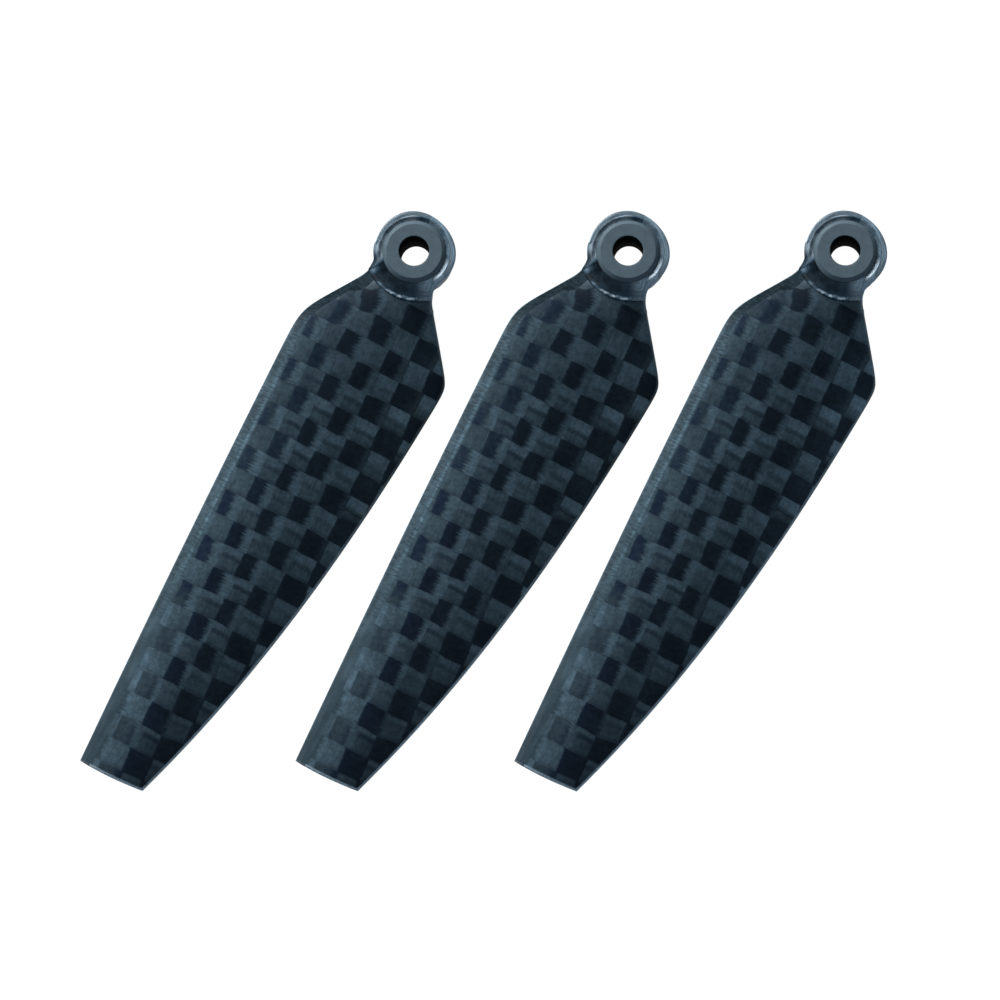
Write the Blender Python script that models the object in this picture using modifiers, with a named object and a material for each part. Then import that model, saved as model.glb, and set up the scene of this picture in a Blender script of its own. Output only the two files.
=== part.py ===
"""Set of three moulded carbon-fibre propeller blades, each with a sleeve bush in its root eyelet.

Every blade is built in its own frame: the bore axis is Z, the span runs along -Y and the chord along X,
with the leading edge at -X. Distances in that frame are in millimetres until a mesh is made.
Along the blade, a "station" is the distance from the bore axis on the centre line.
"""

import math

import bmesh
import bpy

MM = 0.001

# Layout of the set: the bores stand in a row along X, and every blade points the same way.
BLADE_ROW = {"blade_1": 0.0, "blade_2": 21.4, "blade_3": 43.1}
BLADE_ANGLE = math.radians(-26.0)

# Sleeve bush.
BORE_RADIUS = 1.5
BUSH_RADIUS = 3.15
BUSH_HALF_HEIGHT = 2.5
BUSH_CHAMFER = 0.4
BUSH_SEGMENTS = 36
BUSH_CLEARANCE = 0.04  # radial running fit in the boss

# Root boss: a ring round the bush, and on the blade side a shelf that falls to a lip on the skins.
BOSS_RING_RADIUS = 3.42
GROOVE_FLOOR = 1.85  # height of the ring
SHELF_RADIUS = 4.8
SHELF_HEIGHT = 2.15
SHELF_LIP = 0.08
SHELF_EDGE_ANGLE = math.radians(48.0)  # the shelf reaches this far round from the span axis
RING_EDGE_ANGLE = math.radians(52.0)
SHELF_END = 0.5 * (SHELF_EDGE_ANGLE + RING_EDGE_ANGLE)
BOSS_CELLS = 3

# Tow loop: a ring round the boss whose two legs dive under the shelf and run on inside the blade.
LOOP_INNER_RADIUS = 3.49
LOOP_OUTER_RADIUS = 4.15
LOOP_HALF_HEIGHT = 2.2
LOOP_TAPER = 0.75  # share of its width that the tow loses from its top to its underside
LOOP_CORNER = 0.26
LOOP_CELLS = 24
DIVE_START = math.radians(72.0)
DIVE_END = math.radians(50.0)
LEG_START = math.radians(60.0)  # where the legs leave the circle, along its tangent
LEG_HALF_HEIGHT = 0.8
LEG_SPACING = 0.42  # from the spar's centre line to each leg's
LEG_STATIONS = (44.0, 36.0, 28.0, 20.0, 14.0, 10.0)
LEG_LEAN = 0.075  # the spar leans towards the thick part of the section
LEG_LEAN_START = 9.0
LEG_GAP = 0.2

# Blade planform. On each side a flank leads from the neck to the long edge. The blends and corners
# are the rounding radii of the two changes of direction.
NECK_HALF_WIDTH = 3.42
SKIN_START = 4.86
TIP_STATION = 60.65
TIP_BOW = 0.25
LEADING_NECK_BLEND = 0.3
LEADING_FLANK_START = 3.45
LEADING_FLANK_SLOPE = 0.65
LEADING_HALF_WIDTH = 7.65
LEADING_START = 12.0
LEADING_DROP = 0.65  # millimetres lost by the tip
LEADING_CORNER = 0.5
TRAILING_NECK_BLEND = 0.2
TRAILING_FLANK_START = 3.3
TRAILING_FLANK_SLOPE = 0.735
TRAILING_HALF_WIDTH = 8.52
TRAILING_START = 11.5
TRAILING_DROP = (3.36, 2.88, 2.53)  # the same for the trailing edge: linear, square and cube parts
TRAILING_CORNER = 0.3

# Blade section.
NECK_THICKNESS = 2.9
BODY_THICKNESS = 1.6
TIP_THICKNESS = 0.8
TRAILING_THICKNESS = 0.3
NECK_END = 13.0
CAMBER = 0.04
ROOT_PITCH = math.radians(14.0)
TIP_PITCH = math.radians(7.0)
TWIST_START = 3.4

# Laminate.
SKIN_THICKNESS = 0.25
NOSE_WIDTH = 1.0
BOND_GAP = 0.05
CORE_GAP = 0.09
CORE_THINNEST = 0.14
CORE_START = 6.5
CORE_END = 55.0
CHANNEL_FLARE = 0.6
CHANNEL_REACH = 4.0

# Mesh density of the blade.
ROWS = 16
ROW_CROWDING = 1.6
CHORD_CELLS = 8
NOSE_CELLS = 4


def smooth_step(value, start, end):
    """0 before start, 1 after end, with a smooth change between."""
    u = min(1.0, max(0.0, (value - start) / (end - start)))
    return u * u * (3.0 - 2.0 * u)


def mix(a, b, u):
    """The value the fraction u of the way from a to b."""
    return a + (b - a) * u


def soft_min(a, b, radius):
    """The smaller of two values, with the corner between them rounded."""
    return -radius * math.log(math.exp(-a / radius) + math.exp(-b / radius))


def soft_max(a, b, radius):
    """The larger of two values, with the corner between them rounded."""
    return -soft_min(-a, -b, radius)


def leading_width(s):
    """Distance of the leading outline from the span axis, at distance s along it."""
    flank = NECK_HALF_WIDTH + LEADING_FLANK_SLOPE * (s - LEADING_FLANK_START)
    u = (s - LEADING_START) / (TIP_STATION - LEADING_START)
    edge = LEADING_HALF_WIDTH - LEADING_DROP * u**2
    return soft_min(soft_max(flank, NECK_HALF_WIDTH, LEADING_NECK_BLEND), edge, LEADING_CORNER)


def trailing_width(s):
    """The same for the trailing outline."""
    flank = NECK_HALF_WIDTH + TRAILING_FLANK_SLOPE * (s - TRAILING_FLANK_START)
    u = (s - TRAILING_START) / (TIP_STATION - TRAILING_START)
    edge = TRAILING_HALF_WIDTH - sum(drop * u**power for power, drop in enumerate(TRAILING_DROP, 1))
    return soft_min(soft_max(flank, NECK_HALF_WIDTH, TRAILING_NECK_BLEND), edge, TRAILING_CORNER)


def row_bow(station, x):
    """How far a row curves back towards the bore at x: round at the root, slight at the tip."""
    reach = min(abs(x), 0.85 * SKIN_START)
    root = SKIN_START - math.sqrt(SKIN_START**2 - reach**2)
    near_root = 1.0 - smooth_step(station, SKIN_START, 12.0)
    near_tip = smooth_step(station, 45.0, TIP_STATION)
    tip = TIP_BOW * ((x + 4.0) / 4.0) ** 2
    return near_root * root + near_tip * tip


def row_ends(station):
    """The x of the leading and of the trailing end of a row."""
    ends = []
    for side, width in ((-1, leading_width), (1, trailing_width)):
        x = side * width(station)
        for _ in range(60):
            x = side * width(station - row_bow(station, x))
        ends.append(x)
    return ends


def foil(u):
    """Half thickness of a four-digit section at chord fraction u, scaled to a largest value of 1."""
    shape = 0.2969 * math.sqrt(u) - 0.126 * u - 0.3516 * u**2 + 0.2843 * u**3 - 0.1036 * u**4
    return max(0.0, shape) / 0.1


def section(station, u):
    """The (x, s, mid height, half thickness) of the blade at a station and a chord fraction u."""
    leading, trailing = row_ends(station)
    x = mix(leading, trailing, u)
    neck = 1.0 - smooth_step(station, SKIN_START, NECK_END)
    outboard = (station - SKIN_START) / (TIP_STATION - SKIN_START)
    body = mix(BODY_THICKNESS, TIP_THICKNESS, outboard**1.3)
    thickness = mix(body, NECK_THICKNESS, neck)
    oval = 2.0 * math.sqrt(max(0.0, u * (1.0 - u)))
    shape = mix(foil(u), oval, neck)
    edge = TRAILING_THICKNESS * min(1.0, u / 0.08)
    half = 0.5 * ((thickness - TRAILING_THICKNESS) * shape + edge)
    twist = smooth_step(station, TWIST_START, NECK_END)
    pitch = twist * mix(ROOT_PITCH, TIP_PITCH, outboard)
    camber = CAMBER * (trailing - leading) * (1.0 - neck) * 4.0 * u * (1.0 - u)
    return x, station - row_bow(station, x), camber - x * math.tan(pitch), half


def section_at(x, s):
    """The blade's (mid height, half thickness) above the point x, s."""
    station = max(SKIN_START, s)
    for _ in range(30):
        station = max(SKIN_START, s + row_bow(station, x))
    leading, trailing = row_ends(station)
    u = min(1.0, max(0.0, (x - leading) / (trailing - leading)))
    return section(station, u)[2:]


def blade_rows(start=SKIN_START, end=TIP_STATION):
    """The stations of the blade's rows that lie from start to end, closer together near the root."""
    even = [i / (ROWS - 1) for i in range(ROWS)]
    rows = [mix(SKIN_START, TIP_STATION, u**ROW_CROWDING) for u in even]
    return [row for row in rows if start <= row <= end]


def new_material(name, colour, roughness, metallic=0.0):
    material = bpy.data.materials.new(name)
    material.use_nodes = True
    shader = material.node_tree.nodes["Principled BSDF"]
    shader.inputs["Base Color"].default_value = (*colour, 1.0)
    shader.inputs["Roughness"].default_value = roughness
    shader.inputs["Metallic"].default_value = metallic
    material.diffuse_color = (*colour, 1.0)
    return material


def mesh_from(name, points, faces, smooth_angle=35.0):
    """A mesh from points in blade-frame millimetres, welded, with its faces turned outwards."""
    mesh = bpy.data.meshes.new(name)
    bm = bmesh.new()
    corners = [bm.verts.new((x * MM, -s * MM, z * MM)) for x, s, z in points]
    for face in faces:
        bm.faces.new([corners[i] for i in face])
    bmesh.ops.remove_doubles(bm, verts=bm.verts, dist=0.002 * MM)
    bmesh.ops.recalc_face_normals(bm, faces=bm.faces)
    bm.to_mesh(mesh)
    bm.free()
    mesh.shade_smooth()
    mesh.set_sharp_from_angle(angle=math.radians(smooth_angle))
    return mesh


def plate(name, top, bottom):
    """A closed solid between two grids of points with the same rows and columns."""
    rows, columns = len(top), len(top[0])
    points = [p for grid in (top, bottom) for row in grid for p in row]
    under = rows * columns

    def at(i, j):
        return i * columns + j

    faces = []
    for i in range(rows - 1):
        for j in range(columns - 1):
            cell = (at(i, j), at(i + 1, j), at(i + 1, j + 1), at(i, j + 1))
            faces.append(cell)
            faces.append(tuple(under + k for k in reversed(cell)))
    rim = [at(0, j) for j in range(columns)]
    rim += [at(i, columns - 1) for i in range(1, rows)]
    rim += [at(rows - 1, j) for j in range(columns - 2, -1, -1)]
    rim += [at(i, 0) for i in range(rows - 2, 0, -1)]
    for a, b in zip(rim, rim[1:] + rim[:1]):
        faces.append((a, b, under + b, under + a))
    return mesh_from(name, points, faces)


def nose_fraction(station, width=NOSE_WIDTH):
    """The chord fraction at which the leading-edge tow is `width` wide."""
    leading, trailing = row_ends(station)
    return width / (trailing - leading)


def skin_mesh(name, side):
    """One woven skin: side is 1 for the upper one and -1 for the lower one."""
    outer, inner = [], []
    for station in blade_rows():
        first = nose_fraction(station)
        outer_row, inner_row = [], []
        for j in range(CHORD_CELLS + 1):
            x, s, mid, half = section(station, mix(first, 1.0, j / CHORD_CELLS))
            thickness = min(SKIN_THICKNESS, half - 0.5 * BOND_GAP)
            outer_row.append((x, s, mid + side * half))
            inner_row.append((x, s, mid + side * (half - thickness)))
        outer.append(outer_row)
        inner.append(inner_row)
    return plate(name, outer, inner)


def nose_mesh(name):
    """The leading-edge tow: the rounded nose of the section, from the neck to the tip."""
    top, bottom = [], []
    for station in blade_rows():
        last = nose_fraction(station, NOSE_WIDTH - BOND_GAP)
        top_row, bottom_row = [], []
        for j in range(NOSE_CELLS + 1):
            x, s, mid, half = section(station, last * (j / NOSE_CELLS) ** 2)
            top_row.append((x, s, mid + half))
            bottom_row.append((x, s, mid - half))
        top.append(top_row)
        bottom.append(bottom_row)
    return plate(name, top, bottom)


def core_half(station, u):
    """Half thickness left for the core between the skins."""
    return section(station, u)[3] - SKIN_THICKNESS - CORE_GAP


def core_reach(station):
    """The largest chord fraction at which the core is still thick enough."""
    low, high = 0.4, 1.0
    for _ in range(30):
        middle = 0.5 * (low + high)
        if core_half(station, middle) > 0.5 * CORE_THINNEST:
            low = middle
        else:
            high = middle
    return low


def core_blank(name):
    """The core before the channel for the tow legs is cut."""
    top, bottom = [], []
    for station in blade_rows(CORE_START, CORE_END):
        first = nose_fraction(station, NOSE_WIDTH + CORE_GAP)
        last = core_reach(station)
        top_row, bottom_row = [], []
        for j in range(CHORD_CELLS):
            u = mix(first, last, j / (CHORD_CELLS - 1))
            x, s, mid, _ = section(station, u)
            half = max(0.5 * CORE_THINNEST, core_half(station, u))
            top_row.append((x, s, mid + half))
            bottom_row.append((x, s, mid - half))
        top.append(top_row)
        bottom.append(bottom_row)
    return plate(name, top, bottom)


def leg_line(s):
    """The x of the spar's centre line at distance s: it leans towards the thick part of the section."""
    return -LEG_LEAN * max(0.0, s - LEG_LEAN_START)


def leg_stops(side):
    """Stops along the leg on one side (1 or -1) of the spar, from its far end to the loop."""
    radius = 0.5 * (LOOP_INNER_RADIUS + LOOP_OUTER_RADIUS)
    leave_x, leave_s = radius * math.sin(LEG_START), radius * math.cos(LEG_START)
    meet_s = leave_s + (leave_x - LEG_SPACING) * math.tan(LEG_START)
    stops = []
    for s in LEG_STATIONS:
        x = leg_line(s) + side * LEG_SPACING
        mid, half = section_at(x, s)
        stops.append((x, s, side, 0.0, mid, half - SKIN_THICKNESS - LEG_GAP))
    for u in (0.12, 0.3, 0.6, 0.9):
        x, s = side * mix(LEG_SPACING, leave_x, u), mix(meet_s, leave_s, u)
        mid, half = section_at(x, s)
        half = min(LEG_HALF_HEIGHT, half - SKIN_THICKNESS - LEG_GAP)
        stops.append((x, s, side * math.sin(LEG_START), math.cos(LEG_START), mid * (1.0 - u), half))
    return stops


def strap_path():
    """Stops along the tow, leg, loop and leg: (x, s, outward x, outward s, mid height, half height)."""
    radius = 0.5 * (LOOP_INNER_RADIUS + LOOP_OUTER_RADIUS)
    loop = []
    for i in range(LOOP_CELLS + 1):
        angle = mix(LEG_START, 2.0 * math.pi - LEG_START, i / LOOP_CELLS)
        away = min(angle, 2.0 * math.pi - angle)
        half = mix(LEG_HALF_HEIGHT, LOOP_HALF_HEIGHT, smooth_step(away, DIVE_END, DIVE_START))
        x, s = math.sin(angle), math.cos(angle)
        loop.append((radius * x, radius * s, x, s, 0.0, half))
    return leg_stops(1) + loop + leg_stops(-1)[::-1]


def strap_mesh(name, grow):
    """The tow as a swept ring of eight-sided sections, each face moved out by `grow`."""
    width = 0.5 * (LOOP_OUTER_RADIUS - LOOP_INNER_RADIUS) + grow
    points, faces = [], []
    path = strap_path()
    for x, s, across_x, across_s, mid, half in path:
        tall = half + grow
        corner = min(LOOP_CORNER, 0.35 * tall)
        outline = (
            (width, tall - corner),
            (width - corner, tall),
            (corner - width, tall),
            (-width, tall - corner),
            (-width, corner - tall),
            (corner - width, -tall),
            (width - corner, -tall),
            (width, corner - tall),
        )
        for out, up in outline:
            kept = 1.0 - LOOP_TAPER * 0.5 * (tall - up) / tall
            across = (out + width) * kept - width
            points.append((x + across * across_x, s + across * across_s, mid + up))
    sides = 8
    for i in range(len(path) - 1):
        for j in range(sides):
            a, b = i * sides + j, i * sides + (j + 1) % sides
            faces.append((a, b, b + sides, a + sides))
    faces.append(tuple(range(sides)))
    last = (len(path) - 1) * sides
    faces.append(tuple(last + j for j in range(sides)))
    return mesh_from(name, points, faces)


def from_span(angle):
    """How far an angle, measured from the span axis, lies from it: 0 to pi."""
    return math.acos(max(-1.0, min(1.0, math.cos(angle))))


def boss_angles():
    """Directions of the boss's radial lines: even steps, with a pair at each end of the shelf."""
    step = 2.0 * math.pi / BUSH_SEGMENTS
    even = [step * i for i in range(BUSH_SEGMENTS)]
    kept = [angle for angle in even if abs(from_span(angle) - SHELF_END) > 0.3 * step]
    edges = (SHELF_EDGE_ANGLE, RING_EDGE_ANGLE)
    return sorted(kept + list(edges) + [2.0 * math.pi - edge for edge in edges])


def boss_reach(angle):
    """The boss's outer radius: a ring, and on the blade side a shelf as wide as the neck."""
    if from_span(angle) > SHELF_END:
        return BOSS_RING_RADIUS
    inside, outside = BOSS_RING_RADIUS, SHELF_RADIUS
    width = leading_width if math.sin(angle) < 0.0 else trailing_width
    for _ in range(30):
        middle = 0.5 * (inside + outside)
        if abs(middle * math.sin(angle)) < width(middle * math.cos(angle)):
            inside = middle
        else:
            outside = middle
    return inside


def boss_height(angle, radius, side):
    """Height of the boss's upper (side 1) or lower (side -1) face."""
    shelf_part = 1.0 - smooth_step(from_span(angle), DIVE_END, DIVE_START)
    if shelf_part == 0.0:
        return side * GROOVE_FLOOR
    mid, half = section_at(SKIN_START * math.sin(angle), SKIN_START * math.cos(angle))
    end = side * mid + half + SHELF_LIP
    fall = 1.0 - (1.0 - (radius - BUSH_RADIUS) / (SHELF_RADIUS - BUSH_RADIUS)) ** 2
    return side * mix(GROOVE_FLOOR, mix(SHELF_HEIGHT, end, fall), shelf_part)


def boss_mesh(name):
    """The filler between the bush and the tow loop, with the fillet shelf that runs out onto the blade."""
    inner = BUSH_RADIUS + BUSH_CLEARANCE
    angles = boss_angles()
    points, faces = [], []
    for angle in angles:
        outer = boss_reach(angle)
        radii = [mix(inner, outer, j / BOSS_CELLS) for j in range(BOSS_CELLS + 1)]
        for side, order in ((1, radii), (-1, radii[::-1])):
            for radius in order:
                height = boss_height(angle, radius, side)
                points.append((radius * math.sin(angle), radius * math.cos(angle), height))
    loop = 2 * (BOSS_CELLS + 1)
    for i in range(len(angles)):
        here, ahead = i * loop, ((i + 1) % len(angles)) * loop
        for j in range(loop):
            k = (j + 1) % loop
            faces.append((here + j, here + k, ahead + k, ahead + j))
    return mesh_from(name, points, faces)


def bush_profile():
    """Half outline of the sleeve at +X, down its outer side and back up the bore."""
    edge = BUSH_RADIUS - BUSH_CHAMFER
    top = BUSH_HALF_HEIGHT
    side = top - BUSH_CHAMFER
    return (
        (BORE_RADIUS, top),
        (edge, top),
        (BUSH_RADIUS, side),
        (BUSH_RADIUS, -side),
        (edge, -top),
        (BORE_RADIUS, -top),
    )


def channel_mesh(name):
    """Cutter for the core: a slot along both tow legs that widens towards the root, where it is open."""
    clear = 0.5 * (LOOP_OUTER_RADIUS - LOOP_INNER_RADIUS) + LEG_SPACING + CORE_GAP
    end = LEG_STATIONS[0] + CORE_GAP
    top, bottom = [], []
    for s in (SKIN_START - 1.0, *LEG_STATIONS[:0:-1], end):
        half_width = clear + CHANNEL_FLARE * max(0.0, LEG_STATIONS[-1] - s)
        left, right = leg_line(s) - half_width, leg_line(s) + half_width
        top.append([(left, s, CHANNEL_REACH), (right, s, CHANNEL_REACH)])
        bottom.append([(left, s, -CHANNEL_REACH), (right, s, -CHANNEL_REACH)])
    return plate(name, top, bottom)


def collection(name):
    made = bpy.data.collections.new(name)
    bpy.context.scene.collection.children.link(made)
    return made


def place(name, mesh, material, holder, parts):
    """An object for a mesh, parented to its blade's pivot empty."""
    obj = bpy.data.objects.new(name, mesh)
    parts.objects.link(obj)
    obj.parent = holder
    if not mesh.materials:
        mesh.materials.append(material)
    return obj


def hide_cutter(cutter):
    cutter.hide_render = True
    cutter.display_type = "WIRE"


def subtract(obj, cutter):
    modifier = obj.modifiers.new("channel", "BOOLEAN")
    modifier.operation = "DIFFERENCE"
    modifier.solver = "EXACT"
    modifier.object = cutter


def turned_mesh(name, profile):
    mesh = bpy.data.meshes.new(name)
    points = [(radius * MM, 0.0, z * MM) for radius, z in profile]
    edges = [(i, (i + 1) % len(points)) for i in range(len(points))]
    mesh.from_pydata(points, edges, [])
    return mesh


def turn(obj, segments):
    screw = obj.modifiers.new("turned", "SCREW")
    screw.axis = "Z"
    screw.steps = segments
    screw.render_steps = segments
    screw.use_merge_vertices = True
    screw.merge_threshold = 0.000001
    screw.use_smooth_shade = False


def build_set():
    parts = collection("propeller_blades")
    cutters = collection("cutters")
    weave = new_material("woven_carbon", (0.045, 0.055, 0.062), 0.28)
    looks = {
        "upper_skin": weave,
        "lower_skin": new_material("woven_carbon_under", (0.04, 0.05, 0.057), 0.3),
        "core": new_material("core_foam", (0.62, 0.6, 0.52), 0.85),
        "spar_strap": new_material("tow_loop", (0.1, 0.13, 0.15), 0.33),
        "root_boss": new_material("moulded_root", (0.03, 0.037, 0.042), 0.4),
        "leading_edge_tow": new_material("edge_tow", (0.09, 0.115, 0.135), 0.38),
        "pivot_bush": new_material("bush_grey", (0.1, 0.125, 0.14), 0.55, 0.3),
    }
    meshes = {
        "upper_skin": skin_mesh("upper_skin", 1),
        "lower_skin": skin_mesh("lower_skin", -1),
        "core": core_blank("core"),
        "spar_strap": strap_mesh("spar_strap", 0.0),
        "root_boss": boss_mesh("root_boss"),
        "leading_edge_tow": nose_mesh("leading_edge_tow"),
        "pivot_bush": turned_mesh("pivot_bush", bush_profile()),
    }
    channel = channel_mesh("leg_channel")
    strap_space = strap_mesh("strap_space", BOND_GAP)
    holders = []
    for blade, along_row in BLADE_ROW.items():
        holder = bpy.data.objects.new(f"{blade}_pivot", None)
        holder.empty_display_size = 5.0 * MM
        holder.location.x = along_row * MM
        holder.rotation_euler.z = BLADE_ANGLE
        parts.objects.link(holder)
        holders.append(holder)
        made = {}
        for part, mesh in meshes.items():
            made[part] = place(f"{blade}_{part}", mesh, looks[part], holder, parts)
        turn(made["pivot_bush"], BUSH_SEGMENTS)
        for part, space in (("core", channel), ("root_boss", strap_space)):
            cutter = place(f"{blade}_{part}_cutter", space, looks[part], holder, cutters)
            hide_cutter(cutter)
            subtract(made[part], cutter)
    return parts, holders


def centre_on_ground(parts, holders):
    """Moves the set so that its bounding box is centred on the origin and stands on the ground plane."""
    bpy.context.view_layer.update()
    graph = bpy.context.evaluated_depsgraph_get()
    corners = []
    for obj in parts.objects:
        if obj.type != "MESH":
            continue
        solid = obj.evaluated_get(graph)
        corners += [solid.matrix_world @ vertex.co for vertex in solid.data.vertices]
    low = [min(point[axis] for point in corners) for axis in range(3)]
    high = [max(point[axis] for point in corners) for axis in range(3)]
    for holder in holders:
        holder.location.x -= 0.5 * (low[0] + high[0])
        holder.location.y -= 0.5 * (low[1] + high[1])
        holder.location.z -= low[2]
    bpy.context.view_layer.update()


def main():
    for obj in list(bpy.data.objects):
        bpy.data.objects.remove(obj, do_unlink=True)
    parts, holders = build_set()
    centre_on_ground(parts, holders)


main()
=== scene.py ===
"""Looks of the propeller blade set: fine surfaces over the CAD parts, their materials, and a studio.

Every blade is shaped in its own frame, in millimetres: the bore axis is z, the span runs along s and
the chord along x, with the leading edge at -x. A "station" is a row's distance from the bore axis on
the centre line. The shape functions repeat those of the CAD part, on arrays, so that the fine pieces
sit where its solids are.
"""

import math

import bpy
import numpy as np
from mathutils import Matrix, Vector


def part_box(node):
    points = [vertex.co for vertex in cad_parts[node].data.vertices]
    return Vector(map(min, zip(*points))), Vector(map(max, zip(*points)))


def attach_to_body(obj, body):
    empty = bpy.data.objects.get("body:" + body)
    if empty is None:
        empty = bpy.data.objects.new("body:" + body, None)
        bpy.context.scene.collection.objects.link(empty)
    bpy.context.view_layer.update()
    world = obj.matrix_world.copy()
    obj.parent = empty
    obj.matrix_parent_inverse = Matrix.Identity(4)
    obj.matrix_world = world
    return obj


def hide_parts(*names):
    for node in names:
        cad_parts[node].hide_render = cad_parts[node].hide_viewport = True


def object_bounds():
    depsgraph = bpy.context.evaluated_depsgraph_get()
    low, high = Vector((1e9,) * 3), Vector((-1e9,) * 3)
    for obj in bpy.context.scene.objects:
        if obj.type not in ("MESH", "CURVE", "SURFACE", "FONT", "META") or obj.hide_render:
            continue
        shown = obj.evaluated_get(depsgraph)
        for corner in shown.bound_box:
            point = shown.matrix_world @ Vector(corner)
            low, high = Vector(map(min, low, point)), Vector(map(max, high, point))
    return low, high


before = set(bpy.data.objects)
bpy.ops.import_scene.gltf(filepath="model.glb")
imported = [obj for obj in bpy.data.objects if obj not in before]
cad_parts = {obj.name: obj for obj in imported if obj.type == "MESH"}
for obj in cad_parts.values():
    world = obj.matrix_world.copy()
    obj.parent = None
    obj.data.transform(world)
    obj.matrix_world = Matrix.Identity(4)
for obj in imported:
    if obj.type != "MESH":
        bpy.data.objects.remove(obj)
CAD_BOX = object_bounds()

MM = 0.001
BLADES = ("blade_1", "blade_2", "blade_3")
BLADE_ANGLE = math.radians(-26.0)

# Blade planform and section, as in the CAD part.
NECK_HALF_WIDTH = 3.42
SKIN_START = 4.86
TIP_STATION = 60.65
BOW_END = 12.0  # station where the rows' bow round the root ends
BOW_START = 45.0  # station where the tip's bow starts
TIP_BOW = 0.25
LEADING_NECK_BLEND = 0.3
LEADING_FLANK_START = 3.45
LEADING_FLANK_SLOPE = 0.65
LEADING_HALF_WIDTH = 7.65
LEADING_START = 12.0
LEADING_DROP = 0.65
LEADING_CORNER = 0.5
TRAILING_NECK_BLEND = 0.2
TRAILING_FLANK_START = 3.3
TRAILING_FLANK_SLOPE = 0.735
TRAILING_HALF_WIDTH = 8.52
TRAILING_START = 11.5
TRAILING_DROP = (3.36, 2.88, 2.53)
TRAILING_CORNER = 0.3
NECK_THICKNESS = 2.9
BODY_THICKNESS = 1.6
TIP_THICKNESS = 0.8
TRAILING_THICKNESS = 0.3
NECK_END = 13.0
CAMBER = 0.04
ROOT_PITCH = math.radians(14.0)
TIP_PITCH = math.radians(7.0)
TWIST_START = 3.4
SKIN_THICKNESS = 0.25
NOSE_WIDTH = 1.1
BOND_GAP = 0.05
SEAM = 0.004  # visible gap between the leading-edge tow and the skins
EDGE_ROUNDING = 0.16  # width over which the cut edges are rounded off

# Root.
BORE_RADIUS = 1.5
BUSH_RADIUS = 3.17
BUSH_HALF_HEIGHT = 2.5
BUSH_CHAMFER = 0.38
BORE_EDGE = 0.05
BUSH_EASE = 0.02  # half width of the small bends at the chamfer's two edges
BUSH_WAIST = 1.2  # height of a further ring of points on the straight wall
SEAT_RADIUS = 3.19
GROOVE_FLOOR = 2.06
BEAD_INNER = 3.42
BEAD_OUTER = 4.15
BEAD_HALF_HEIGHT = 2.2
BEAD_TAPER = 0.75  # share of the bead's width that is lost from its top to its underside
BEAD_SQUARENESS = 0.55  # power of a superellipse: 1 is an ellipse, 0 is a rectangle
BEAD_CROWN = 0.42
RING_UNEVENNESS = 0.1  # how far the hand-laid loop strays in and out, three times round
RING_PEAK = 98.0  # degrees from the span at which it strays outwards most
LEG_START = math.radians(60.0)  # angle from the span at which the legs leave the loop
LEG_STATIONS = (44.0, 36.0, 28.0, 20.0, 14.0, 10.0)
LEG_SPACING = 0.42  # of a leg from the centre line
LEG_DRIFT = 0.075  # how far the legs drift to the leading side in each millimetre of span
LEG_HALF_HEIGHT = 0.8
LEG_COVER = 0.2  # core between a leg and a skin
SHELF_RADIUS = 4.9
SHELF_HEIGHT = 2.15
SHELF_LIP = 0.12
RIDGE_RADIUS = 3.62  # of the low ridge in the groove between bush and bead
RIDGE_WIDTH = 0.22
RIDGE_HEIGHT = 0.16
RIM_DROP = 0.16

# Weave: tow lines along the span (columns) and across it (rows).
COLUMN_ORIGIN = -5.36
COLUMN_PITCH = 2.15
WIDE_COLUMN_START = -1.05
WIDE_COLUMN_PITCH = 2.32
COLUMN_DRIFT = 0.038
DRIFT_ORIGIN = 19.8
ROW_ORIGIN = 7.39
ROW_PITCH = 2.482
ROW_SKEW = 0.027
TOW_HALF_WIDTH = 0.445  # visible half width of a spanwise tow, in column pitches
FLOAT_LENGTH = 1.11  # visible length of a float of a tow across the span, in column pitches
TOW_RELIEF = 0.014
WAVINESS = 0.07  # how far tow lines wander from straight ones
COLUMN_STRAIN = 0.45  # how far the cloth is pulled out of line near the root's leading side
ROW_STRAIN = 0.4

# Grid density of the fine surfaces.
SPAN_CELLS = 230
CHORD_CELLS = 64
EDGE_ROWS = 3  # rows over the rounding at the root and at the tip
EDGE_COLUMNS = 5  # columns over the rounding at the trailing edge
SMOOTH_ANGLE = 40.0
ROOT_SMOOTH_ANGLE = 50.0


def smooth_step(value, start, end):
    """0 before start, 1 after end, with a smooth change between."""
    u = np.clip((value - start) / (end - start), 0.0, 1.0)
    return u * u * (3.0 - 2.0 * u)


def fading(value, start, end):
    """1 before start, 0 after end."""
    return 1.0 - smooth_step(value, start, end)


def mix(a, b, u):
    return a + (b - a) * u


def soft_min(a, b, radius):
    """The smaller of two values, with the corner between them rounded."""
    return -radius * np.logaddexp(-a / radius, -b / radius)


def soft_max(a, b, radius):
    return -soft_min(-a, -b, radius)


def leading_width(s):
    flank = NECK_HALF_WIDTH + LEADING_FLANK_SLOPE * (s - LEADING_FLANK_START)
    u = (s - LEADING_START) / (TIP_STATION - LEADING_START)
    edge = LEADING_HALF_WIDTH - LEADING_DROP * u**2
    return soft_min(soft_max(flank, NECK_HALF_WIDTH, LEADING_NECK_BLEND), edge, LEADING_CORNER)


def trailing_width(s):
    flank = NECK_HALF_WIDTH + TRAILING_FLANK_SLOPE * (s - TRAILING_FLANK_START)
    u = (s - TRAILING_START) / (TIP_STATION - TRAILING_START)
    edge = TRAILING_HALF_WIDTH - sum(drop * u**power for power, drop in enumerate(TRAILING_DROP, 1))
    return soft_min(soft_max(flank, NECK_HALF_WIDTH, TRAILING_NECK_BLEND), edge, TRAILING_CORNER)


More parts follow.
